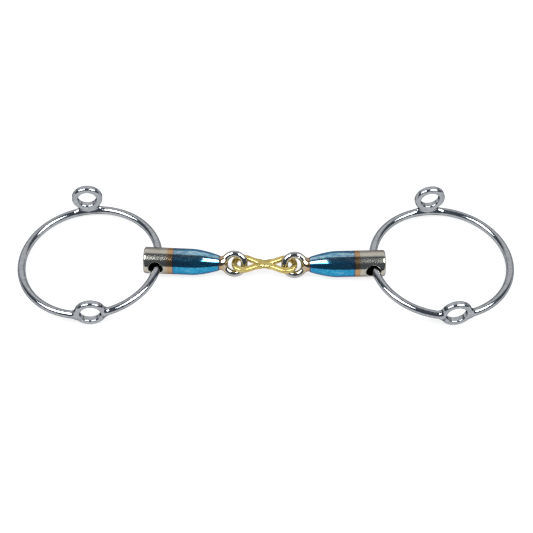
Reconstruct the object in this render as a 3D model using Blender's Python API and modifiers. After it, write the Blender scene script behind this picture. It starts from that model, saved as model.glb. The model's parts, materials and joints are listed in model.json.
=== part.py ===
"""Loose-ring gag snaffle bit, lying flat.

Two heat-blued canons are joined by a cast brass link. Each canon's outer end has a cross bore that a
cheek ring slides through. A cheek ring is an open C of round bar. Its lower eyelet closes the C, and
its upper eyelet stands on the bar. Metres, +Z up, the rider's side of the bit at +Y.
"""
from math import asin, cos, pi, radians, sin, sqrt

import bmesh
import bpy
from mathutils import Matrix, Vector

MM = 0.001

# Cheek rings
RING_RADIUS = 42.5 * MM
RING_BAR_RADIUS = 2.4 * MM
RING_CENTRE_X = 108.4 * MM
RING_CENTRE_Y = -0.83 * MM
RING_TILT_OUT = radians(3.4)
RING_TILT_FRONT = {"left": radians(3.51), "right": radians(3.96)}
RING_TURN = {"left": radians(5), "right": radians(8)}

# Guide eyelets on the rings
EYELET_OUTER_RADIUS = 9.5 * MM
EYELET_RIM_ROUND = 1.3 * MM
UPPER_HOLE_RADIUS = 5.75 * MM
UPPER_THICKNESS = 4.3 * MM
UPPER_HEIGHT = 12.0 * MM
LOWER_HOLE_RADIUS = 6.1 * MM
LOWER_THICKNESS = 4.3 * MM
LOWER_INSET = 1.2 * MM
LOWER_RISE = 0.8 * MM
SADDLE_LENGTH = 16.0 * MM
SADDLE_NECK_LENGTH = 9.0 * MM
SADDLE_BASE_WIDTH = 6.8 * MM
SADDLE_NECK_WIDTH = 4.0 * MM

# Canons, measured along the axis from the bore's centre towards the eye
BARREL_RADIUS = 8.1 * MM
BARREL_END = -7.6 * MM
BARREL_ROUND = 1.2 * MM
TAPER_START = 22.0 * MM
TAPER_END = 38.7 * MM
TAPER_END_RADIUS = 4.7 * MM
NECK_RADIUS = 4.2 * MM
NECK_END = 43.3 * MM
BORE_RADIUS = 4.4 * MM
BORE_TILT = {"left": radians(8), "right": radians(7.5)}
BORE_X = {"left": 67.2 * MM, "right": 65.7 * MM}
BORE_Y = {"left": -1.73 * MM, "right": -3.53 * MM}
EYE_X = {"left": 19.3 * MM, "right": 17.8 * MM}
EYE_Y = {"left": -4.03 * MM, "right": -4.83 * MM}
EYE_RADIUS = 6.15 * MM
EYE_BAR_RADIUS = 2.1 * MM
EYE_TILT = radians(38)

# Centre link
LINK_TIP_X = 18.6 * MM
LINK_LOOP_RADIUS = 5.2 * MM
LINK_BAR_RADIUS = 1.6 * MM
LINK_WAIST_RADIUS = 3.2 * MM
LINK_HEIGHT = 8.2 * MM
LINK_TILT = radians(6)
FOLD_X = 13.0 * MM

# Clearance between touching pieces, and mesh fineness
GAP = 0.3 * MM
MERGE = 0.01 * MM
TURN_STEPS = 32
ARC_STEP = radians(7.5)

SIDES = {"left": -1, "right": 1}
UP = Vector((0, 0, 1))

COLOURS = {
    "polished_steel": ((0.62, 0.63, 0.65, 1), 0.12),
    "heat_blued_steel": ((0.05, 0.22, 0.42, 1), 0.18),
    "cast_brass": ((0.72, 0.56, 0.20, 1), 0.35),
}


def clear_scene():
    for item in list(bpy.data.objects):
        bpy.data.objects.remove(item, do_unlink=True)


def new_collection(name):
    collection = bpy.data.collections.new(name)
    bpy.context.scene.collection.children.link(collection)
    return collection


def material(piece_name, finish):
    """A Principled material of one finish, for one piece."""
    colour, roughness = COLOURS[finish]
    result = bpy.data.materials.new(f"{piece_name}_{finish}")
    result.use_nodes = True
    shader = result.node_tree.nodes["Principled BSDF"]
    shader.inputs["Base Color"].default_value = colour
    shader.inputs["Metallic"].default_value = 1.0
    shader.inputs["Roughness"].default_value = roughness
    return result


def add_object(name, data, collection, matrix=None):
    result = bpy.data.objects.new(name, data)
    collection.objects.link(result)
    result.matrix_world = matrix or Matrix.Identity(4)
    return result


def finish_piece(piece, finish):
    """Give a visible piece its material and smooth shading."""
    piece.data.materials.append(material(piece.name, finish))
    piece.data.shade_smooth()
    piece.data.set_sharp_from_angle(angle=radians(35))


def as_guide(piece):
    piece.hide_render = True
    piece.display_type = "WIRE"
    return piece


def boolean(piece, other, operation):
    cut = piece.modifiers.new(f"{operation.lower()}_{other.name}", "BOOLEAN")
    cut.operation = operation
    cut.solver = "EXACT"
    cut.object = as_guide(other)


def hang_on(piece, parent):
    """Parent a piece without moving it."""
    piece.parent = parent
    piece.matrix_parent_inverse = parent.matrix_world.inverted()


def axis_empty(name, matrix, collection):
    empty = add_object(name, None, collection, matrix)
    empty.empty_display_type = "ARROWS"
    empty.empty_display_size = 0.01
    bpy.context.view_layer.update()
    return empty


def frame_matrix(origin, x_axis, y_axis, z_axis):
    columns = Matrix((x_axis, y_axis, z_axis)).transposed().to_4x4()
    return Matrix.Translation(origin) @ columns


def turned(name, profile, closed, collection, matrix):
    """A solid turned about its local Z from a profile of (radius, height) points."""
    mesh = bpy.data.meshes.new(name)
    points = [(radius, 0, height) for radius, height in profile]
    edges = [(i, i + 1) for i in range(len(points) - 1)]
    if closed:
        edges.append((len(points) - 1, 0))
    mesh.from_pydata(points, edges, [])
    piece = add_object(name, mesh, collection, matrix)
    screw = piece.modifiers.new("turn", "SCREW")
    screw.steps = TURN_STEPS
    screw.render_steps = TURN_STEPS
    screw.use_merge_vertices = True
    screw.merge_threshold = MERGE
    return piece


def wire(name, points, radius, cyclic, collection, matrix):
    """A round bar along a line of points, as a closed mesh."""
    curve = bpy.data.curves.new(name, "CURVE")
    curve.dimensions = "3D"
    curve.bevel_depth = radius
    curve.bevel_resolution = 4
    curve.use_fill_caps = True
    spline = curve.splines.new("POLY")
    spline.points.add(len(points) - 1)
    for point, place in zip(spline.points, points):
        point.co = (*place, 1)
    spline.use_cyclic_u = cyclic
    curve_object = add_object(f"{name}_curve", curve, collection, matrix)
    evaluated = curve_object.evaluated_get(bpy.context.evaluated_depsgraph_get())
    mesh = bpy.data.meshes.new_from_object(evaluated)
    bpy.data.objects.remove(curve_object, do_unlink=True)
    shell = bmesh.new()
    shell.from_mesh(mesh)
    bmesh.ops.remove_doubles(shell, verts=shell.verts, dist=MERGE)
    bmesh.ops.recalc_face_normals(shell, faces=shell.faces)
    shell.to_mesh(mesh)
    shell.free()
    return add_object(name, mesh, collection, matrix)


def arc_points(radius, start, end):
    """Points round the local Z from one angle to another."""
    count = max(2, round(abs(end - start) / ARC_STEP) + 1)
    angles = [start + (end - start) * i / (count - 1) for i in range(count)]
    return [(radius * cos(angle), radius * sin(angle), 0) for angle in angles]


def full_circle(radius, count):
    angles = [2 * pi * i / count for i in range(count)]
    return [(radius * cos(angle), radius * sin(angle), 0) for angle in angles]


def ring_frame(side):
    """The ring's own frame: its plane as local XY, its lower eyelet at local -Y."""
    sign = SIDES[side]
    tilt_out = Matrix.Rotation(sign * RING_TILT_OUT, 4, "Y")
    tilt_front = Matrix.Rotation(-RING_TILT_FRONT[side], 4, "X")
    turn = Matrix.Rotation(RING_TURN[side], 4, "Z")
    rotation = tilt_out @ tilt_front @ turn
    upright = rotation.col[2][2]
    height = RING_BAR_RADIUS + RING_RADIUS * sqrt(1 - upright * upright)
    return Matrix.Translation((sign * RING_CENTRE_X, RING_CENTRE_Y, height)) @ rotation


def make_cheek_ring(side, frame, parts):
    """An open C of round bar, whose ends meet the lower eyelet's rim."""
    half_gap = asin((EYELET_OUTER_RADIUS + 1.5 * GAP) / RING_RADIUS)
    points = arc_points(RING_RADIUS, -pi / 2 + half_gap, 1.5 * pi - half_gap)
    ring = wire(f"{side}_cheek_ring", points, RING_BAR_RADIUS, False, parts, frame)
    finish_piece(ring, "polished_steel")
    return ring


def eyelet_profile(hole_radius, thickness):
    """A washer's section with a rounded outer rim, outer side running down."""
    half = thickness / 2
    centre = EYELET_OUTER_RADIUS - EYELET_RIM_ROUND
    corner = [radians(angle) for angle in (90, 60, 30, 0)]
    top = [(centre + EYELET_RIM_ROUND * cos(a), half - EYELET_RIM_ROUND * (1 - sin(a))) for a in corner]
    bottom = [(radius, -height) for radius, height in reversed(top)]
    return [(hole_radius, half)] + top + bottom + [(hole_radius, -half)]


def eyelet_matrix(frame, angle, inset, height):
    """A place by the bar, with local Z pointing outwards along the ring's radius."""
    outwards = Vector((cos(angle), sin(angle), 0))
    origin = outwards * (RING_RADIUS - inset) + UP * height
    return frame @ frame_matrix(origin, UP.cross(outwards), UP, outwards)


def make_lower_eyelet(side, frame, parts):
    profile = eyelet_profile(LOWER_HOLE_RADIUS, LOWER_THICKNESS)
    matrix = eyelet_matrix(frame, -pi / 2, LOWER_INSET, LOWER_RISE)
    eyelet = turned(f"{side}_lower_eyelet", profile, True, parts, matrix)
    finish_piece(eyelet, "polished_steel")
    return eyelet


def saddle_guide(name, frame, cutters):
    """The flared foot between the bar and the upper eyelet: an oval cone standing on the bar."""
    top = UPPER_HEIGHT - EYELET_OUTER_RADIUS + 1.8 * MM
    mesh = bpy.data.meshes.new(name)
    cone = bmesh.new()
    bmesh.ops.create_cone(cone, cap_ends=True, segments=24, radius1=SADDLE_LENGTH / 2,
                          radius2=SADDLE_NECK_LENGTH / 2, depth=top)
    for vertex in cone.verts:
        share = 0.5 + vertex.co.z / top
        base_ratio = SADDLE_BASE_WIDTH / SADDLE_LENGTH
        neck_ratio = SADDLE_NECK_WIDTH / SADDLE_NECK_LENGTH
        vertex.co.y *= base_ratio + (neck_ratio - base_ratio) * share
        vertex.co.z += top / 2
    cone.to_mesh(mesh)
    cone.free()
    return add_object(name, mesh, cutters, frame @ Matrix.Translation((0, RING_RADIUS, 0)))


def make_upper_eyelet(side, frame, parts, cutters):
    """An eyelet standing on the bar, on a foot hollowed to the bar's round."""
    profile = eyelet_profile(UPPER_HOLE_RADIUS, UPPER_THICKNESS)
    matrix = eyelet_matrix(frame, pi / 2, 0, UPPER_HEIGHT)
    eyelet = turned(f"{side}_upper_eyelet", profile, True, parts, matrix)
    saddle = saddle_guide(f"{side}_saddle_guide", frame, cutters)
    boolean(eyelet, saddle, "UNION")
    reach = SADDLE_LENGTH / RING_RADIUS
    points = arc_points(RING_RADIUS, pi / 2 - reach, pi / 2 + reach)
    bar = wire(f"{side}_saddle_cutter", points, RING_BAR_RADIUS + GAP, False, cutters, frame)
    boolean(eyelet, bar, "DIFFERENCE")
    finish_piece(eyelet, "polished_steel")
    return eyelet


def canon_profile():
    """The canon's outline from the rounded neck end down to the barrel's end."""
    dome_height = NECK_END - TAPER_END
    dome = [radians(angle) for angle in (90, 70, 50, 30, 12)]
    outline = [(NECK_RADIUS * cos(a), TAPER_END + dome_height * sin(a)) for a in dome]
    outline[0] = (0, NECK_END)
    outline.append((NECK_RADIUS, TAPER_END + 0.3 * MM))
    steps = 6
    for i in range(steps + 1):
        share = 1 - i / steps
        radius = BARREL_RADIUS - (BARREL_RADIUS - TAPER_END_RADIUS) * share ** 1.6
        outline.append((radius, TAPER_START + (TAPER_END - TAPER_START) * share))
    for angle in (radians(0), radians(45), radians(90)):
        radius = BARREL_RADIUS - BARREL_ROUND * (1 - cos(angle))
        outline.append((radius, BARREL_END + BARREL_ROUND * (1 - sin(angle))))
    outline.append((0, BARREL_END))
    return outline


def canon_frame(side):
    """Origin at the bore's centre, local Z along the axis to the eye, local Y out of the front mouth."""
    bore = Vector((SIDES[side] * BORE_X[side], BORE_Y[side], BARREL_RADIUS))
    eye = Vector((SIDES[side] * EYE_X[side], EYE_Y[side], BARREL_RADIUS))
    inwards = (eye - bore).normalized()
    level_front = inwards.cross(UP) * SIDES[side]
    level_front *= -1 if level_front.y > 0 else 1
    front = level_front * cos(BORE_TILT[side]) + UP * sin(BORE_TILT[side])
    return frame_matrix(bore, front.cross(inwards), front, inwards), level_front, (eye - bore).length


def make_canon(side, parts, cutters):
    frame, level_front, eye_distance = canon_frame(side)
    canon = turned(f"{side}_canon", canon_profile(), False, parts, frame)

    inwards = frame.col[2].to_3d()
    eye_normal = level_front * cos(EYE_TILT) + UP * sin(EYE_TILT)
    eye_centre = frame.translation + inwards * eye_distance
    eye_frame = frame_matrix(eye_centre, inwards, eye_normal.cross(inwards), eye_normal)
    eye = wire(f"{side}_eye_guide", full_circle(EYE_RADIUS, TURN_STEPS), EYE_BAR_RADIUS, True,
               cutters, eye_frame)
    boolean(canon, eye, "UNION")

    mesh = bpy.data.meshes.new(f"{side}_bore_cutter")
    drill = bmesh.new()
    bmesh.ops.create_cone(drill, cap_ends=True, segments=TURN_STEPS, radius1=BORE_RADIUS,
                          radius2=BORE_RADIUS, depth=4 * BARREL_RADIUS)
    drill.to_mesh(mesh)
    drill.free()
    along_bore = frame @ Matrix.Rotation(pi / 2, 4, "X")
    boolean(canon, add_object(f"{side}_bore_cutter", mesh, cutters, along_bore), "DIFFERENCE")
    finish_piece(canon, "heat_blued_steel")
    return canon


def link_frame():
    left = Vector((-EYE_X["left"], EYE_Y["left"], LINK_HEIGHT))
    right = Vector((EYE_X["right"], EYE_Y["right"], LINK_HEIGHT))
    along = (right - left).normalized()
    back = UP.cross(along) * cos(LINK_TILT) - UP * sin(LINK_TILT)
    return frame_matrix((left + right) / 2, along, back, along.cross(back))


def link_loop_points(sign):
    """One teardrop loop of the link: a round tip, and two sides drawn in to the waist."""
    centre = LINK_TIP_X - LINK_LOOP_RADIUS
    throat = 1.7 * MM
    throat_x = 3.0 * MM
    arc = [radians(-90 + 15 * i) for i in range(13)]
    tip = [(centre + LINK_LOOP_RADIUS * cos(a), LINK_LOOP_RADIUS * sin(a)) for a in arc]
    side = []
    steps = 7
    for i in range(1, steps + 1):
        share = i / steps
        ease = 3 * share ** 2 - 2 * share ** 3
        side.append((centre + (throat_x - centre) * share,
                     LINK_LOOP_RADIUS + (throat - LINK_LOOP_RADIUS) * ease))
    outline = tip + side + [(x, -y) for x, y in reversed(side)]
    return [(sign * x, y, 0) for x, y in outline]


def make_link(parts, cutters):
    frame = link_frame()
    link = wire("centre_link", link_loop_points(1), LINK_BAR_RADIUS, True, parts, frame)
    other = wire("link_loop_guide", link_loop_points(-1), LINK_BAR_RADIUS, True, cutters, frame)
    mesh = bpy.data.meshes.new("link_waist_guide")
    waist = bmesh.new()
    bmesh.ops.create_uvsphere(waist, u_segments=20, v_segments=12, radius=LINK_WAIST_RADIUS)
    for vertex in waist.verts:
        vertex.co.x *= 1.75
        vertex.co.z *= 0.5
    waist.to_mesh(mesh)
    waist.free()
    boolean(link, add_object("link_waist_guide", mesh, cutters, frame), "UNION")
    boolean(link, other, "UNION")
    finish_piece(link, "cast_brass")
    return link


def main():
    clear_scene()
    parts = new_collection("loose_ring_gag_snaffle_bit")
    cutters = new_collection("cutters")
    link = make_link(parts, cutters)
    for side, sign in SIDES.items():
        fold_place = link.matrix_world @ Vector((sign * FOLD_X, 0, 0))
        fold = axis_empty(f"{side}_fold_axis", Matrix.Translation(fold_place), parts)
        hang_on(make_canon(side, parts, cutters), fold)
        frame = ring_frame(side)
        ring_axis = axis_empty(f"{side}_ring_axis", frame, parts)
        hang_on(ring_axis, fold)
        bpy.context.view_layer.update()
        hang_on(make_cheek_ring(side, frame, parts), ring_axis)
        hang_on(make_lower_eyelet(side, frame, parts), ring_axis)
        hang_on(make_upper_eyelet(side, frame, parts, cutters), ring_axis)


main()
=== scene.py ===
"""Visual model of a loose-ring gag snaffle bit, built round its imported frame.

Each piece is shaped in its own local frame, in millimetres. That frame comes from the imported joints
and mounts, and it is baked into the mesh, so no object carries a transform of its own. Ring bars are
swept tubes. Canons, eyelets and link are the closed surfaces of distance fields, which gives their
welds, bore mouths and cast corners soft blends.
"""

import json
from math import asin, cos, pi, radians, sin

import bpy
import numpy as np
from mathutils import Matrix, Vector


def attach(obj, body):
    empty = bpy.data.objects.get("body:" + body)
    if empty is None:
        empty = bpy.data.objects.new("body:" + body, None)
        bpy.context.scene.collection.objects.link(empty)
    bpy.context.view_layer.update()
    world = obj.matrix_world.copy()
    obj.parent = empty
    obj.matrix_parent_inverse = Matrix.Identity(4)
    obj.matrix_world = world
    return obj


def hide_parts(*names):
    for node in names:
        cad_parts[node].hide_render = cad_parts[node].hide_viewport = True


MM = 0.001
UP = Vector((0, 0, 1))
SIDES = ("left", "right")

# Cheek rings, in millimetres. A ring's local frame has its plane as XY and its lower eyelet at -Y.
RING_RADIUS = 42.5
RING_BAR_RADIUS = 2.4
RING_END_X = 8.8
RING_STEPS = 300
BAR_STEPS = 28

# Guide eyelets
EYELET_OUTER_RADIUS = 9.5
EYELET_RIM_ROUND = 1.35
HOLE_EDGE = 0.95
UPPER_HOLE_RADIUS = 5.75
UPPER_THICKNESS = 4.3
UPPER_HEIGHT = 12.0
LOWER_HOLE_RADIUS = 6.1
LOWER_THICKNESS = 4.3
LOWER_INSET = 1.2
LOWER_RISE = 0.8
WELD_BLEND = 2.4
WELD_START = 7.8
WELD_START_ROUND = 1.0
WELD_END = 13.5
WELD_END_ROUND = 0.3
SKIN = 0.05
SKIN_FALL = 3
SADDLE_LENGTH = 17.5
SADDLE_NECK_LENGTH = 13.0
SADDLE_BASE_WIDTH = 6.6
SADDLE_NECK_WIDTH = 3.9
SADDLE_TOP = 4.3
SADDLE_SINK = 0.5
SADDLE_FLARE = 1.5
SADDLE_ROUND = 0.7
SADDLE_BLEND = 1.3
SADDLE_SKIN_REACH = 2

# Canons. The local Z runs from the bore's centre to the eye, and local Y out of the front mouth.
BARREL_RADIUS = 8.1
BARREL_END = -7.6
BARREL_ROUND = 1.3
TAPER_START = 22.0
TAPER_END = 38.7
TAPER_END_RADIUS = 4.7
NECK_RADIUS = 4.3
NECK_SLOPE = 0.14
TAPER_POWER = 1.6
TAPER_ROUND = 0.3
NECK_END = 43.3
NECK_ROUND = 3.2
BORE_RADIUS = 4.4
BORE_EDGE = 0.85
BORE_TILT = {"left": radians(8), "right": radians(7.5)}
EYE_DISTANCE = {"left": 47.96, "right": 47.92}
EYE_RADIUS = 6.15
EYE_BAR_RADIUS = 2.1
EYE_TILT = radians(38)
EYE_BLEND = 1.7
SEAM_ANGLE = radians(64)
SEAM_SLANT = radians(36)
SEAM_REACH = 2.6
SEAM_DEPTH = {"left": 0.0, "right": 0.32}
SEAM_WIDTH = 0.24

# Centre link. Its local X runs from the left tip to the right, and local Y to the back.
LINK_TILT = radians(6)
LINK_TIP_X = 18.6
LINK_LOOP_RADIUS = 5.2
LINK_BAR_RADIUS = 1.6
LINK_THROAT = 1.7
LINK_THROAT_X = 3.0
LINK_WAIST = (5.6, 3.2, 1.6)
LINK_BLEND = 1.1
LINK_SQUARENESS = 3.5
LINK_TIP_POINTS = 12
LINK_SIDE_POINTS = 14
UNEVEN_HEIGHT = 0.05
UNEVEN_WAVES = (1.3, 1.7, 1.9)
UNEVEN_PHASES = (0.7, -0.4, 1.1)
PARTING_HEIGHT = 0.04
PARTING_WIDTH = 0.22

# Mesh fineness, and the room left round each shape in its grid, in millimetres
CANON_CELL = 0.26
EYELET_CELL = 0.22
LINK_CELL = 0.2
GRID_ROOM = 0.6
EYELET_FACE_ROOM = 3.0
WELD_ROOM = 0.8
SADDLE_ROOM = 3
LINK_TOP_ROOM = 0.8
SLOPE_STEP = 0.02
LEAST_STEEPNESS = 0.05
SNAP_PASSES = 2

# Metals. An edge tint is the metal's colour at a grazing angle.
STEEL_EDGE = (0.06, 0.065, 0.08)
CANON_EDGE = (0.14, 0.10, 0.14)
BRASS_EDGE = (0.40, 0.30, 0.10)
RING_STEEL = (0.375, 0.388, 0.408)
RING_STEEL_DARK = (0.25, 0.262, 0.28)
BRASS = (0.56, 0.445, 0.165)
BRASS_DARK = (0.38, 0.285, 0.09)
SATIN_STEEL = (0.455, 0.43, 0.365)
STRAW = (0.46, 0.38, 0.27)
BRONZE = (0.43, 0.265, 0.135)
PURPLE = (0.10, 0.05, 0.10)
BLUE = (0.008, 0.25, 0.45)
PALE_BLUE = (0.015, 0.31, 0.52)
# Pale blue for random flecks, and for a painted sheen on top of the blue
FLECK_AND_SHEEN_BLUE = (0.34, 0.52, 0.60)
DEEP_BLUE = (0.012, 0.10, 0.24)
# Painted shade on the upper sides of the blue
PAINTED_SHADE_PURPLE = (0.13, 0.12, 0.15)
EYE_STEEL = (0.42, 0.41, 0.385)
CLOUD_GREY = (0.6, 0.62, 0.66)
# Painted shade inside the cross bore
BORE_PAINTED_SHADE = (0.02, 0.02, 0.022)

# Noise patterns: the squeeze along each axis, the scale per millimetre, and the detail
STEEL_HAZE = ((1, 1, 1), 0.12, 3.0)
STEEL_HAIRLINES = ((1.0, 1.0, 9.0), 1.6, 5.0)
STEEL_GRIME = ((1, 1, 1), 0.6, 6.0)
CANON_CLOUD = ((1, 1, 1), 0.18, 3.0)
CANON_TURNING = ((0.25, 0.25, 5.0), 1.4, 4.0)
CANON_STREAKS = ((1.2, 1.2, 0.22), 0.9, 6.0)
CANON_FLECKS = ((1.5, 1.5, 0.6), 1.1, 5.0)
BRASS_PATCHES = ((1, 1, 1), 0.35, 4.0)
BRASS_GRAIN = ((1, 1, 1), 2.4, 5.0)

# Ranges: two values of a pattern, and what those two become. The last two take a height across the
# canon instead, from -1 at its underside to 1 on top.
GRIME_SHARE = (0.35, 0.75, 0, 1)
HAZE_ROUGHNESS = (0.3, 0.7, 0.05, 0.10)
HAIRLINE_ROUGHNESS = (0.5, 0.8, 0.0, 0.06)
PATCH_SHARE = (0.35, 0.7, 0, 1)
PATCH_ROUGHNESS = (0.3, 0.7, 0.24, 0.31)
GRAIN_ROUGHNESS = (0.4, 0.8, 0.0, 0.10)
CLOUD_SHARE = (0.3, 0.75, 0.0, 0.55)
CLOUD_WAVER = (0.2, 0.8, -0.35, 0.35)
TURNING_ROUGHNESS = (0.45, 0.85, 0.0, 0.07)
# The next two shape the painted sheen on top of the blue and the painted shade on its upper sides
PAINTED_SHEEN_STREAKS = (0.38, 0.58, 0.1, 1)
PAINTED_SHADE_STREAKS = (0.42, 0.62, 0.6, 0.1)
PALE_FLECKS = (0.55, 0.68, 0, 0.45)
DARK_FLECKS = (0.34, 0.48, 0.6, 0)
# Heights for the painted sheen on top of the blue and the painted shade on its upper sides
ON_TOP = (0.84, 0.99, 0, 1)
UPPER_SIDE = (0.35, 0.6, 0, 1)

# Bumps: strength, and depth in millimetres
HAIRLINE_BUMP = (0.05, 0.05)
TURNING_BUMP = (0.02, 0.04)
GRAIN_BUMP = (0.5, 0.12)

# Zones along a canon, in millimetres on its local Z
CANON_SPAN = (-8.0, 56.0)
TINT_START = {"left": 5.4, "right": 7.9}
BRONZE_START = {"left": 8.0, "right": 8.1}
BLUE_START = {"left": 10.4, "right": 11.2}
BLUE_MIDDLE = 24
BLUE_END = 38.9
BLUE_EDGE = 0.1
BLUED_EDGE = 0.8
PURPLE_IN = 0.9
PURPLE_OUT = 1.1
STRAW_PLACE = 42.3
EYE_STEEL_START = 44.5
EYE_POLISH_START = 44
ROUGHNESS_EDGE = 0.2
# The painted shade on the blue fades over this length from the blue's start
PAINTED_SHADE_LENGTH = 14

# Canon finish. The streaks of painted shade fade to a share of themselves over their length.
PAINTED_SHADE_LEFT = 0.3
SATIN_ROUGHNESS = 0.13
BRONZE_ROUGHNESS = 0.11
BLUE_ROUGHNESS = 0.08
NECK_ROUGHNESS = 0.12
EYE_ROUGHNESS = 0.06
COAT_WEIGHT = 0.2
COAT_ROUGHNESS = 0.05

# The painted shade inside the bore, which reaches in millimetres below the barrel's surface and along
# the canon from the bore's axis. Its roughness is added to the barrel's.
BORE_DEPTH = (0.9, 0.5)
BORE_WIDTH = (4.7, 5.0)
BORE_ROUGHNESS = 0.3

# Stage, light and camera, in metres. The wall ranges take the Y and Z of a direction.
FLOOR_SIZE = 3.0
FLOOR_DROP = 0.15 * MM
FLOOR_GLOW = 0.8
FLOOR_ROUGHNESS = 0.7
FLOOR_TONE_SCALE = 2.0
FLOOR_GREY = (0.3, 0.7, 0.11, 0.12)
CAMERA_ELEVATION = radians(53.3)
CAMERA_AZIMUTH = radians(-0.2)
CAMERA_DISTANCE = 0.9
CAMERA_LENS = 99.0
CAMERA_TARGET = Vector((0.5, -6.15, 8.0)) * MM
SOFTBOX_SIZE = (1.15, 0.60)
SOFTBOX_PLACE = (0.845, -0.24, 1.0)
SOFTBOX_POWER = 36.0
SOFTBOX_COLOUR = (0.93, 0.97, 1.0)
STUDIO_DIM = (0.115, 0.135, 0.165)
WALL_BRIGHT = (1.08, 1.08, 1.09)
WALL_BEHIND = (0.30, 0.60, 0, 1)
WALL_RAISED = (-0.05, 0.42, 0.05, 1)


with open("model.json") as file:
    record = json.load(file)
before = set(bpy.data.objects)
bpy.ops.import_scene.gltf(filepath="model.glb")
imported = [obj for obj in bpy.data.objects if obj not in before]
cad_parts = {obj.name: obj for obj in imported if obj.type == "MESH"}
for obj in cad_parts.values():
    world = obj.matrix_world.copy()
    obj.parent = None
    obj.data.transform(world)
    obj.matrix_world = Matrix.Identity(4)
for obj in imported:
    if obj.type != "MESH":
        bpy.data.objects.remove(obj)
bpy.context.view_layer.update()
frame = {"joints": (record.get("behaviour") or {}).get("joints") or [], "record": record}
joints = {joint["name"]: joint for joint in frame["joints"]}
mounts = {mount["name"]: mount for mount in frame["record"]["mounts"]}


# Frames


def frame_matrix(origin, x_axis, y_axis, z_axis):
    columns = Matrix((x_axis, y_axis, z_axis)).transposed().to_4x4()
    return Matrix.Translation(origin) @ columns


def ring_frame(side):
    turn = joints[f"{side}_ring_turn"]
    up = Vector(turn["axis"]).normalized()
    back = -Vector(mounts[f"{side}_lower_eyelet_face"]["axis"])
    along = back.cross(up).normalized()
    return frame_matrix(Vector(turn["pos_m"]), along, up.cross(along), up)


def canon_frame(side):
    """The canon's frame, and its level direction towards the front."""
    end = mounts[f"{side}_barrel_end"]
    inwards = -Vector(end["axis"]).normalized()
    bore = Vector(end["pos_m"]) - inwards * BARREL_END * MM
    level = inwards.cross(UP).normalized()
    level *= -1 if level.y > 0 else 1
    front = level * cos(BORE_TILT[side]) + UP * sin(BORE_TILT[side])
    return frame_matrix(bore, front.cross(inwards), front, inwards), level


def link_frame():
    left = Vector(joints["left_fold"]["pos_m"])
    right = Vector(joints["right_fold"]["pos_m"])
    along = (right - left).normalized()
    back = UP.cross(along) * cos(LINK_TILT) - UP * sin(LINK_TILT)
    return frame_matrix((left + right) / 2, along, back, along.cross(back))


# Distance fields. Each takes points as rows and gives their distance, negative inside.


def smooth_union(a, b, blend):
    share = np.clip(0.5 + 0.5 * (b - a) / blend, 0, 1)
    return b + (a - b) * share - blend * share * (1 - share)


def rounded_cut(a, b, radius):
    """The shape inside both fields, with their common edge rounded."""
    corner = np.hypot(np.maximum(a + radius, 0), np.maximum(b + radius, 0))
    return np.minimum(np.maximum(a, b), -radius) + corner


def bar_distance(x, y, z):
    """Distance from the ring bar's centreline."""
    return np.hypot(np.hypot(x, y) - RING_RADIUS, z)


def weld_skin(x, y, z, start, end):
    """A thin skin of weld on the ring bar from one local X to another, thinning out at its end."""
    reach = np.abs(x)
    fall = SKIN_FALL * SKIN * np.clip((reach - start) / (end - start), 0, 1)
    radius = RING_BAR_RADIUS + SKIN - fall
    skin = bar_distance(x, y, z) - radius
    return rounded_cut(skin, reach - end, WELD_END_ROUND)


def lower_eyelet_field(points):
    x, y, z = points.T
    radial = np.hypot(x, z - LOWER_RISE)
    depth = np.abs(y + RING_RADIUS - LOWER_INSET)
    disc = rounded_cut(radial - EYELET_OUTER_RADIUS, depth - LOWER_THICKNESS / 2, EYELET_RIM_ROUND)
    weld = weld_skin(x, y, z, EYELET_OUTER_RADIUS, WELD_END)
    weld = rounded_cut(weld, WELD_START - np.abs(x), WELD_START_ROUND)
    solid = smooth_union(disc, weld, WELD_BLEND)
    return rounded_cut(solid, LOWER_HOLE_RADIUS - radial, HOLE_EDGE)


def upper_eyelet_field(points):
    x, y, z = points.T
    radial = np.hypot(x, z - UPPER_HEIGHT)
    depth = np.abs(y - RING_RADIUS)
    disc = rounded_cut(radial - EYELET_OUTER_RADIUS, depth - UPPER_THICKNESS / 2, EYELET_RIM_ROUND)
    across = np.hypot(x, y) - RING_RADIUS
    flare = (1 - np.clip(z / SADDLE_TOP, 0, 1)) ** SADDLE_FLARE
    length = SADDLE_NECK_LENGTH / 2 + (SADDLE_LENGTH - SADDLE_NECK_LENGTH) / 2 * flare
    width = SADDLE_NECK_WIDTH / 2 + (SADDLE_BASE_WIDTH - SADDLE_NECK_WIDTH) / 2 * flare
    saddle = (np.hypot(x / length, across / width) - 1) * width
    saddle = rounded_cut(saddle, -z, SADDLE_ROUND)
    saddle = rounded_cut(saddle, z - SADDLE_TOP - SADDLE_SINK, SADDLE_ROUND)
    skin = weld_skin(x, y, z, SADDLE_LENGTH / 2, SADDLE_LENGTH / 2 + SADDLE_SKIN_REACH)
    foot = smooth_union(saddle, skin, SADDLE_BLEND)
    solid = smooth_union(disc, foot, SADDLE_BLEND)
    return rounded_cut(solid, UPPER_HOLE_RADIUS - radial, HOLE_EDGE)


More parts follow.
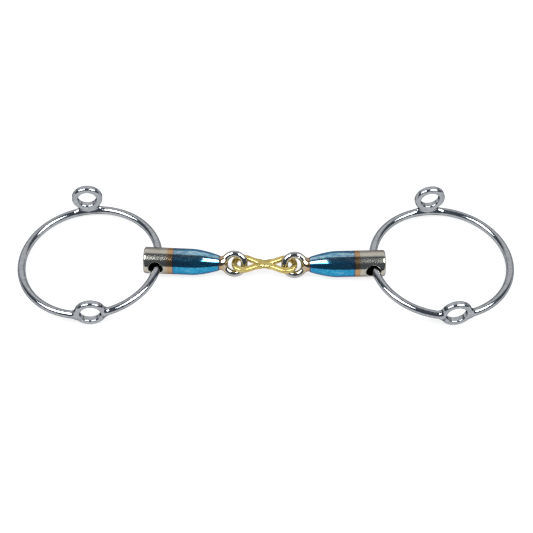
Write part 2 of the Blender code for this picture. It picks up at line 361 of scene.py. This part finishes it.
def canon_field(side, matrix, level_front):
    """The canon: barrel, cross bore, taper, neck, and the eye bent from round bar."""
    to_local = matrix.to_3x3().transposed()
    normal = np.array(to_local @ (level_front * cos(EYE_TILT) + UP * sin(EYE_TILT)))
    centre = np.array((0, 0, EYE_DISTANCE[side]))
    barrelwards = np.array((0, 0, -1.0))
    upwards = np.cross(normal, barrelwards)
    upwards *= np.sign(upwards @ np.array(to_local @ UP))
    spoke = barrelwards * cos(SEAM_ANGLE) + upwards * sin(SEAM_ANGLE)
    tangent = upwards * cos(SEAM_ANGLE) - barrelwards * sin(SEAM_ANGLE)
    seam_normal = tangent * cos(SEAM_SLANT) + spoke * sin(SEAM_SLANT)
    seam_place = centre + spoke * EYE_RADIUS

    def field(points):
        x, y, z = points.T
        share = np.clip((z - TAPER_START) / (TAPER_END - TAPER_START), 0, 1)
        radius = BARREL_RADIUS - (BARREL_RADIUS - TAPER_END_RADIUS) * share ** TAPER_POWER
        body = np.hypot(x, y) - radius
        body = rounded_cut(body, BARREL_END - z, BARREL_ROUND)
        body = rounded_cut(body, z - TAPER_END, TAPER_ROUND)
        body = rounded_cut(body, BORE_RADIUS - np.hypot(x, z), BORE_EDGE)
        neck_radius = NECK_RADIUS - NECK_SLOPE * (z - TAPER_END)
        neck = np.maximum(np.hypot(x, y) - neck_radius, TAPER_START - z)
        neck = rounded_cut(neck, z - NECK_END, NECK_ROUND)
        body = np.minimum(body, neck)
        offset = points - centre
        lift = offset @ normal
        flat = np.sqrt(np.maximum((offset ** 2).sum(1) - lift ** 2, 0))
        eye = np.hypot(flat - EYE_RADIUS, lift) - EYE_BAR_RADIUS
        solid = smooth_union(body, eye, EYE_BLEND)
        if not SEAM_DEPTH[side]:
            return solid
        from_seam = points - seam_place
        near = np.exp(-((from_seam ** 2).sum(1) / SEAM_REACH ** 2) ** 2)
        groove = np.exp(-((from_seam @ seam_normal) / SEAM_WIDTH) ** 2)
        return solid + SEAM_DEPTH[side] * near * groove

    return field


def link_outline():
    """The centreline of the link's right loop: a round tip and two sides drawn in to the waist."""
    centre = LINK_TIP_X - LINK_LOOP_RADIUS
    angles = np.linspace(0, pi / 2, LINK_TIP_POINTS)
    tip = np.stack((centre + LINK_LOOP_RADIUS * np.cos(angles), LINK_LOOP_RADIUS * np.sin(angles)), 1)
    share = np.linspace(0, 1, LINK_SIDE_POINTS)[1:]
    ease = 3 * share ** 2 - 2 * share ** 3
    side = np.stack((centre + (LINK_THROAT_X - centre) * share,
                     LINK_LOOP_RADIUS + (LINK_THROAT - LINK_LOOP_RADIUS) * ease), 1)
    half = np.concatenate((tip, side))
    return np.concatenate((half[:0:-1] * (1, -1), half))


def line_distance(x, y, outline):
    """Distance in the plane from a line of points."""
    nearest = np.full(x.shape, np.inf)
    for start, end in zip(outline[:-1], outline[1:]):
        along = end - start
        share = ((x - start[0]) * along[0] + (y - start[1]) * along[1]) / (along @ along)
        share = np.clip(share, 0, 1)
        gap = np.hypot(x - start[0] - share * along[0], y - start[1] - share * along[1])
        nearest = np.minimum(nearest, gap)
    return nearest


def link_field(points):
    """Two teardrop loops joined by a cast waist, with a little casting unevenness."""
    x, y, z = points.T
    across = line_distance(np.abs(x), y, link_outline())
    powers = across ** LINK_SQUARENESS + np.abs(z) ** LINK_SQUARENESS
    bars = powers ** (1 / LINK_SQUARENESS) - LINK_BAR_RADIUS
    scaled = points / LINK_WAIST
    length = np.sqrt((scaled ** 2).sum(1))
    slope = np.sqrt(((scaled / LINK_WAIST) ** 2).sum(1))
    waist = length * (length - 1) / np.maximum(slope, 1e-6)
    uneven = np.sin(points * UNEVEN_WAVES + UNEVEN_PHASES).prod(1)
    parting = np.exp(-(z / PARTING_WIDTH) ** 2)
    solid = smooth_union(bars, waist, LINK_BLEND)
    return solid - UNEVEN_HEIGHT * uneven - PARTING_HEIGHT * parting


# Meshing


def placed_mesh(name, places, faces, matrix):
    """A smooth mesh from places in millimetres in the frame of a matrix."""
    rotation = np.array(matrix.to_3x3())
    mesh = bpy.data.meshes.new(name)
    mesh.from_pydata((places * MM @ rotation.T + np.array(matrix.translation)).tolist(), [], faces)
    mesh.shade_smooth()
    return mesh


def field_slope(field, places):
    slope = np.empty_like(places)
    for axis in range(3):
        shift = np.zeros(3)
        shift[axis] = SLOPE_STEP
        slope[:, axis] = (field(places + shift) - field(places - shift)) / (2 * SLOPE_STEP)
    return slope


def grid_values(field, axes):
    values = np.empty([len(axis) for axis in axes])
    y, z = np.meshgrid(axes[1], axes[2], indexing="ij")
    for i, x in enumerate(axes[0]):
        points = np.stack((np.full(y.size, x), y.ravel(), z.ravel()), 1)
        values[i] = field(points).reshape(y.shape)
    return values


def cell_places(values, axes, cell, active):
    """The mean of the points where the surface crosses each active cell's edges."""
    shape = active.shape
    total = np.zeros((*shape, 3))
    count = np.zeros(shape)
    for axis in range(3):
        low = np.take(values, range(values.shape[axis] - 1), axis)
        high = np.take(values, range(1, values.shape[axis]), axis)
        crossed = (low < 0) != (high < 0)
        share = np.where(crossed, low / np.where(crossed, low - high, 1), 0)
        others = [other for other in range(3) if other != axis]
        for first in (0, 1):
            for second in (0, 1):
                window = [slice(None)] * 3
                window[others[0]] = slice(first, first + shape[others[0]])
                window[others[1]] = slice(second, second + shape[others[1]])
                hit = crossed[tuple(window)]
                count += hit
                total[..., axis] += share[tuple(window)]
                total[..., others[0]] += hit * first
                total[..., others[1]] += hit * second
    corners = np.stack(np.nonzero(active), 1)
    mean = total[active] / count[active][:, None]
    return (corners + mean) * cell + [axis[0] for axis in axes]


def cell_quads(values, index):
    """A quad round every grid edge that the surface crosses, facing outwards."""
    quads = []
    for axis in range(3):
        order = (axis, (axis + 1) % 3, (axis + 2) % 3)
        turned_values = values.transpose(order)
        turned_index = index.transpose(order)
        inside = turned_values[:-1] < 0
        crossed = inside != (turned_values[1:] < 0)
        i, j, k = np.nonzero(crossed[:, 1:-1, 1:-1])
        j += 1
        k += 1
        quad = np.stack((turned_index[i, j - 1, k - 1], turned_index[i, j, k - 1],
                         turned_index[i, j, k], turned_index[i, j - 1, k]), 1)
        backward = ~inside[i, j, k]
        quad[backward] = quad[backward][:, ::-1]
        quads.append(quad)
    return np.concatenate(quads)


def field_mesh(name, field, low, high, cell, matrix):
    """The field's closed surface between two corners of its frame, as a mesh in its place."""
    axes = [np.arange(a, b + cell, cell) for a, b in zip(low, high)]
    values = grid_values(field, axes)
    shape = tuple(size - 1 for size in values.shape)
    inside = sum((values[i:i + shape[0], j:j + shape[1], k:k + shape[2]] < 0).astype(int)
                 for i in (0, 1) for j in (0, 1) for k in (0, 1))
    active = (inside > 0) & (inside < 8)
    index = np.full(shape, -1)
    index[active] = np.arange(active.sum())
    places = cell_places(values, axes, cell, active)
    for _ in range(SNAP_PASSES):
        slope = field_slope(field, places)
        steepness = np.maximum((slope ** 2).sum(1), LEAST_STEEPNESS)
        step = slope * (field(places) / steepness)[:, None]
        places -= np.clip(step, -cell / 2, cell / 2)
    mesh = placed_mesh(name, places, cell_quads(values, index).tolist(), matrix)
    normals = field_slope(field, places) @ np.array(matrix.to_3x3()).T
    normals /= np.maximum(np.linalg.norm(normals, axis=1), 1e-9)[:, None]
    mesh.normals_split_custom_set_from_vertices(normals.tolist())
    return mesh


def ring_bar_mesh(name, matrix):
    """A closed tube round the ring, whose two ends are buried in the lower eyelet."""
    gap = asin(RING_END_X / RING_RADIUS)
    round_ring = np.linspace(gap, 2 * pi - gap, RING_STEPS) - pi / 2
    round_bar = np.arange(BAR_STEPS) * 2 * pi / BAR_STEPS
    ring, bar = np.meshgrid(round_ring, round_bar, indexing="ij")
    reach = RING_RADIUS + RING_BAR_RADIUS * np.cos(bar)
    places = np.stack((reach * np.cos(ring), reach * np.sin(ring), RING_BAR_RADIUS * np.sin(bar)), -1)
    number = np.arange(RING_STEPS * BAR_STEPS).reshape(RING_STEPS, BAR_STEPS)
    following = np.roll(number, -1, axis=1)
    quads = np.stack((number[:-1], number[1:], following[1:], following[:-1]), -1).reshape(-1, 4)
    caps = [number[0].tolist(), number[-1, ::-1].tolist()]
    return placed_mesh(name, places.reshape(-1, 3), quads.tolist() + caps, matrix)


# Materials. Patterns are in millimetres: a canon's in its own frame, the others' in the scene's axes.


def add_node(tree, kind, inputs=None, **settings):
    node = tree.nodes.new(f"ShaderNode{kind}")
    for name, value in settings.items():
        setattr(node, name, value)
    for key, value in (inputs or {}).items():
        if isinstance(value, bpy.types.NodeSocket):
            tree.links.new(value, node.inputs[key])
        else:
            node.inputs[key].default_value = value
    return node


def new_metal(name, edge_tint):
    material = bpy.data.materials.new(name)
    material.use_nodes = True
    shader = material.node_tree.nodes["Principled BSDF"]
    shader.inputs["Metallic"].default_value = 1.0
    shader.inputs["Specular Tint"].default_value = (*edge_tint, 1)
    return material, material.node_tree, shader


def millimetres(tree, matrix=Matrix.Identity(4)):
    """Coordinates in the frame of a matrix, in millimetres."""
    coordinates = add_node(tree, "TexCoord")
    local = add_node(tree, "Mapping", {"Vector": coordinates.outputs["Object"],
                                       "Location": matrix.translation,
                                       "Rotation": matrix.to_euler(), "Scale": (MM, MM, MM)},
                     vector_type="TEXTURE")
    return local.outputs["Vector"]


def noise(tree, place, squeeze, scale, detail):
    """Noise from 0 to 1, with the pattern squeezed along each axis."""
    squeezed = add_node(tree, "VectorMath", {0: place, 1: squeeze}, operation="MULTIPLY")
    pattern = add_node(tree, "TexNoise", {"Vector": squeezed.outputs["Vector"], "Scale": scale,
                                          "Detail": detail})
    return pattern.outputs["Fac"]


def mapped(tree, value, low, high, to_low, to_high, smooth=False):
    kind = "SMOOTHSTEP" if smooth else "LINEAR"
    node = add_node(tree, "MapRange", {"Value": value, "From Min": low, "From Max": high,
                                       "To Min": to_low, "To Max": to_high}, interpolation_type=kind)
    return node.outputs["Result"]


def calculate(tree, operation, a, b=0.0):
    return add_node(tree, "Math", {0: a, 1: b}, operation=operation).outputs["Value"]


def mix_colour(tree, share, a, b, blend="MIX"):
    node = add_node(tree, "Mix", {"Factor": share, "A": a, "B": b}, data_type="RGBA", blend_type=blend)
    return node.outputs["Result"]


def ramp(tree, value, stops):
    """A colour ramp through (place, colour) stops."""
    node = add_node(tree, "ValToRGB", {"Fac": value})
    elements = node.color_ramp.elements
    while len(elements) < len(stops):
        elements.new(0.5)
    for element, (place, colour) in zip(elements, stops):
        element.position = place
        element.color = (*colour, 1)
    return node.outputs["Color"]


def bumped(tree, shader, height, strength, depth):
    bump = add_node(tree, "Bump", {"Height": height, "Strength": strength, "Distance": depth * MM})
    tree.links.new(bump.outputs["Normal"], shader.inputs["Normal"])


def paint(tree, shader, colour, rough):
    tree.links.new(colour, shader.inputs["Base Color"])
    tree.links.new(rough, shader.inputs["Roughness"])


def polished_steel():
    """Mirror-polished steel with hairline scratches and a faint haze."""
    material, tree, shader = new_metal("polished_steel", STEEL_EDGE)
    place = millimetres(tree)
    haze_and_painted_sheen = noise(tree, place, *STEEL_HAZE)
    hairlines = noise(tree, place, *STEEL_HAIRLINES)
    grime = mapped(tree, noise(tree, place, *STEEL_GRIME), *GRIME_SHARE)
    colour = mix_colour(tree, grime, (*RING_STEEL, 1), (*RING_STEEL_DARK, 1))
    rough = calculate(tree, "ADD", mapped(tree, haze_and_painted_sheen, *HAZE_ROUGHNESS),
                      mapped(tree, hairlines, *HAIRLINE_ROUGHNESS))
    paint(tree, shader, colour, rough)
    bumped(tree, shader, hairlines, *HAIRLINE_BUMP)
    return material


def cast_brass():
    """Satin cast brass, a little darker in patches, with a fine grain."""
    material, tree, shader = new_metal("cast_brass", BRASS_EDGE)
    place = millimetres(tree)
    patches = noise(tree, place, *BRASS_PATCHES)
    grain = noise(tree, place, *BRASS_GRAIN)
    colour = mix_colour(tree, mapped(tree, patches, *PATCH_SHARE), (*BRASS, 1), (*BRASS_DARK, 1))
    rough = calculate(tree, "ADD", mapped(tree, patches, *PATCH_ROUGHNESS),
                      mapped(tree, grain, *GRAIN_ROUGHNESS))
    paint(tree, shader, colour, rough)
    bumped(tree, shader, grain, *GRAIN_BUMP)
    return material


def along_share(place):
    """A place along the canon, in millimetres, as a share of its span."""
    low, high = CANON_SPAN
    return (place - low) / (high - low)


def canon_zones(tree, along, side):
    """The colours along a canon, from the barrel's outer end to the eye."""
    first, last = CANON_SPAN
    start = BLUE_START[side]
    stops = (
        (first, SATIN_STEEL), (TINT_START[side], SATIN_STEEL), (BRONZE_START[side], BRONZE),
        (start - BLUE_EDGE, BRONZE), (start, PURPLE), (start + PURPLE_IN, BLUE),
        (BLUE_MIDDLE, PALE_BLUE), (BLUE_END - PURPLE_OUT, BLUE), (BLUE_END - BLUE_EDGE, PURPLE),
        (BLUE_END, BRONZE), (STRAW_PLACE, STRAW), (EYE_STEEL_START, EYE_STEEL), (last, EYE_STEEL))
    return ramp(tree, along, [(along_share(place), colour) for place, colour in stops])


def canon_roughness(tree, along, side):
    """The roughness along a canon, from the barrel's outer end to the eye."""
    first, last = CANON_SPAN
    start = BLUE_START[side]
    stops = (
        (first, SATIN_ROUGHNESS), (TINT_START[side], SATIN_ROUGHNESS), (start, BRONZE_ROUGHNESS),
        (start + ROUGHNESS_EDGE, BLUE_ROUGHNESS), (BLUE_END, BLUE_ROUGHNESS),
        (BLUE_END + ROUGHNESS_EDGE, NECK_ROUGHNESS), (EYE_POLISH_START, BLUE_ROUGHNESS),
        (last, EYE_ROUGHNESS))
    return ramp(tree, along, [(along_share(place), (value,) * 3) for place, value in stops])


def blued_share(tree, along, start):
    """1 on the heat-blued middle of a canon and 0 on the rest."""
    begun = mapped(tree, along, along_share(start), along_share(start + BLUED_EDGE), 0, 1)
    going = mapped(tree, along, along_share(BLUE_END - BLUED_EDGE), along_share(BLUE_END), 1, 0)
    return calculate(tree, "MULTIPLY", begun, going)


def with_flecks_and_painted_light(tree, colour, place, along, height, start):
    """A canon's colour, with a painted sheen on top of its blue, streaked painted shade on the blue's
    upper sides, and pale and dark flecks.
    """
    blued = blued_share(tree, along, start)
    streaks = noise(tree, place, *CANON_STREAKS)
    flecks = noise(tree, place, *CANON_FLECKS)
    # Painted sheen, paler on top of the blue, and painted shade in streaks on its upper sides
    haze_and_painted_sheen = calculate(tree, "MULTIPLY", mapped(tree, height, *ON_TOP, smooth=True),
                     mapped(tree, streaks, *PAINTED_SHEEN_STREAKS))
    painted_shade = calculate(tree, "MULTIPLY", mapped(tree, streaks, *PAINTED_SHADE_STREAKS),
                     mapped(tree, height, *UPPER_SIDE, smooth=True))
    fading = mapped(tree, along, along_share(start), along_share(start + PAINTED_SHADE_LENGTH), 1, PAINTED_SHADE_LEFT)
    layers = (
        (haze_and_painted_sheen, FLECK_AND_SHEEN_BLUE),
        (calculate(tree, "MULTIPLY", painted_shade, fading), PAINTED_SHADE_PURPLE),
        (mapped(tree, flecks, *PALE_FLECKS), FLECK_AND_SHEEN_BLUE),
        (mapped(tree, flecks, *DARK_FLECKS), DEEP_BLUE))
    for share, layer in layers:
        share = calculate(tree, "MULTIPLY", share, blued)
        colour = mix_colour(tree, share, colour, (*layer, 1))
    return colour


def bore_share(tree, radial, z):
    """Where painted shade goes: 1 inside a canon's cross bore and 0 on its outside."""
    full, none = BORE_DEPTH
    deep = mapped(tree, radial, BARREL_RADIUS - full, BARREL_RADIUS - none, 1, 0)
    near = mapped(tree, calculate(tree, "ABSOLUTE", z), *BORE_WIDTH, 1, 0)
    return calculate(tree, "MULTIPLY", deep, near)


def canon_steel(side, matrix):
    """Satin barrel, straw to bronze tint, heat-blued middle, tan neck and polished eye."""
    material, tree, shader = new_metal(f"{side}_canon_steel", CANON_EDGE)
    place = millimetres(tree, matrix)
    parts = add_node(tree, "SeparateXYZ", {"Vector": place})
    x, y, z = (parts.outputs[axis] for axis in "XYZ")
    cloud = noise(tree, place, *CANON_CLOUD)
    turning = noise(tree, place, *CANON_TURNING)
    wavering = calculate(tree, "ADD", z, mapped(tree, cloud, *CLOUD_WAVER))
    along = mapped(tree, wavering, *CANON_SPAN, 0, 1)
    radial = calculate(tree, "SQRT", calculate(tree, "ADD", calculate(tree, "POWER", x, 2.0),
                                               calculate(tree, "POWER", y, 2.0)))
    up = matrix.to_3x3().transposed() @ UP
    height = add_node(tree, "VectorMath", {0: place, 1: up}, operation="DOT_PRODUCT")
    height = calculate(tree, "DIVIDE", height.outputs["Value"], radial)
    colour = mix_colour(tree, mapped(tree, cloud, *CLOUD_SHARE), canon_zones(tree, along, side),
                        (*CLOUD_GREY, 1), "MULTIPLY")
    # Painted sheen and painted shade on the blue, and random flecks
    colour = with_flecks_and_painted_light(tree, colour, place, along, height, BLUE_START[side])
    in_bore = bore_share(tree, radial, z)
    # Painted shade inside the cross bore
    colour = mix_colour(tree, in_bore, colour, (*BORE_PAINTED_SHADE, 1))
    rough = calculate(tree, "ADD", canon_roughness(tree, along, side),
                      mapped(tree, turning, *TURNING_ROUGHNESS))
    rough = calculate(tree, "ADD", rough, calculate(tree, "MULTIPLY", in_bore, BORE_ROUGHNESS))
    paint(tree, shader, colour, rough)
    bumped(tree, shader, turning, *TURNING_BUMP)
    shader.inputs["Coat Weight"].default_value = COAT_WEIGHT
    shader.inputs["Coat Roughness"].default_value = COAT_ROUGHNESS
    return material


# Pieces


def place_piece(mesh, body, node, material):
    piece = bpy.data.objects.new(mesh.name, mesh)
    bpy.context.scene.collection.objects.link(piece)
    mesh.materials.append(material)
    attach(piece, body)
    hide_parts(node)


def eyelet_mesh(name, field, centre, thickness, reach, low_z, matrix):
    """An eyelet round a centre (y, z), with its foot or welds out to a reach along the bar."""
    y, z = centre
    half = thickness / 2 + EYELET_FACE_ROOM
    top = z + EYELET_OUTER_RADIUS + GRID_ROOM
    return field_mesh(name, field, (-reach, y - half, low_z), (reach, y + half, top), EYELET_CELL,
                      matrix)


def build_cheek(side, steel):
    matrix = ring_frame(side)
    ring = ring_bar_mesh(f"{side}_ring_bar", matrix)
    lower = eyelet_mesh(f"{side}_lower_guide", lower_eyelet_field,
                        (LOWER_INSET - RING_RADIUS, LOWER_RISE), LOWER_THICKNESS,
                        WELD_END + WELD_ROOM, LOWER_RISE - EYELET_OUTER_RADIUS - GRID_ROOM, matrix)
    upper = eyelet_mesh(f"{side}_upper_guide", upper_eyelet_field, (RING_RADIUS, UPPER_HEIGHT),
                        UPPER_THICKNESS, SADDLE_LENGTH / 2 + SADDLE_ROOM,
                        -RING_BAR_RADIUS - GRID_ROOM, matrix)
    nodes = {"cheek_ring": ring, "lower_eyelet": lower, "upper_eyelet": upper}
    for node, mesh in nodes.items():
        place_piece(mesh, f"{side}_cheek", f"{side}_{node}", steel)


def build_canon(side):
    matrix, level_front = canon_frame(side)
    reach = BARREL_RADIUS + GRID_ROOM
    end = EYE_DISTANCE[side] + EYE_RADIUS + EYE_BAR_RADIUS + GRID_ROOM
    mesh = field_mesh(f"{side}_mouthpiece_arm", canon_field(side, matrix, level_front),
                      (-reach, -reach, BARREL_END - GRID_ROOM), (reach, reach, end), CANON_CELL,
                      matrix)
    place_piece(mesh, f"{side}_canon", f"{side}_canon", canon_steel(side, matrix))


def build_link():
    reach_x = LINK_TIP_X + LINK_BAR_RADIUS + GRID_ROOM
    reach_y = LINK_LOOP_RADIUS + LINK_BAR_RADIUS + GRID_ROOM
    reach_z = LINK_BAR_RADIUS + LINK_TOP_ROOM
    mesh = field_mesh("lozenge_link", link_field, (-reach_x, -reach_y, -reach_z),
                      (reach_x, reach_y, reach_z), LINK_CELL, link_frame())
    place_piece(mesh, "link", "centre_link", cast_brass())


# Stage, light and camera


def build_floor():
    mesh = bpy.data.meshes.new("studio_floor")
    half = FLOOR_SIZE / 2
    corners = [(x * half, y * half, -FLOOR_DROP) for x, y in ((-1, -1), (1, -1), (1, 1), (-1, 1))]
    mesh.from_pydata(corners, [], [(0, 1, 2, 3)])
    floor = bpy.data.objects.new("studio_floor", mesh)
    bpy.context.scene.collection.objects.link(floor)
    material = bpy.data.materials.new("pale_floor")
    material.use_nodes = True
    tree = material.node_tree
    shader = tree.nodes["Principled BSDF"]
    tone = add_node(tree, "TexNoise", {"Scale": FLOOR_TONE_SCALE})
    grey = mapped(tree, tone.outputs["Fac"], *FLOOR_GREY)
    tree.links.new(grey, shader.inputs["Base Color"])
    shader.inputs["Roughness"].default_value = FLOOR_ROUGHNESS
    shader.inputs["Emission Color"].default_value = (1, 1, 1, 1)
    shader.inputs["Emission Strength"].default_value = FLOOR_GLOW
    mesh.materials.append(material)


def build_softboxes():
    across, back, up = SOFTBOX_PLACE
    for sign in (-1, 1):
        light = bpy.data.lights.new(f"softbox_{sign}", "AREA")
        light.shape = "RECTANGLE"
        light.size, light.size_y = SOFTBOX_SIZE
        light.energy = SOFTBOX_POWER
        light.color = SOFTBOX_COLOUR
        softbox = bpy.data.objects.new(light.name, light)
        softbox.location = (sign * across, back, up)
        bpy.context.scene.collection.objects.link(softbox)


def build_world():
    """A dim studio with a bright wall behind the object."""
    world = bpy.data.worlds.new("studio")
    bpy.context.scene.world = world
    world.use_nodes = True
    tree = world.node_tree
    direction = add_node(tree, "TexCoord").outputs["Generated"]
    parts = add_node(tree, "SeparateXYZ", {"Vector": direction})
    behind = mapped(tree, parts.outputs["Y"], *WALL_BEHIND, smooth=True)
    raised = mapped(tree, parts.outputs["Z"], *WALL_RAISED, smooth=True)
    wall = calculate(tree, "MULTIPLY", behind, raised)
    light = mix_colour(tree, wall, (*STUDIO_DIM, 1), (*WALL_BRIGHT, 1))
    tree.links.new(light, tree.nodes["Background"].inputs["Color"])


def build_camera():
    outwards = Vector((-sin(CAMERA_AZIMUTH) * cos(CAMERA_ELEVATION),
                       -cos(CAMERA_AZIMUTH) * cos(CAMERA_ELEVATION), sin(CAMERA_ELEVATION)))
    data = bpy.data.cameras.new("camera")
    data.lens = CAMERA_LENS
    camera = bpy.data.objects.new("camera", data)
    camera.location = CAMERA_TARGET + outwards * CAMERA_DISTANCE
    camera.rotation_euler = outwards.to_track_quat("Z", "Y").to_euler()
    bpy.context.scene.collection.objects.link(camera)
    bpy.context.scene.camera = camera


build_link()
steel = polished_steel()
for side in SIDES:
    build_canon(side)
    build_cheek(side, steel)
build_floor()
build_softboxes()
build_world()
build_camera()
bpy.context.scene.view_settings.view_transform = "Standard"
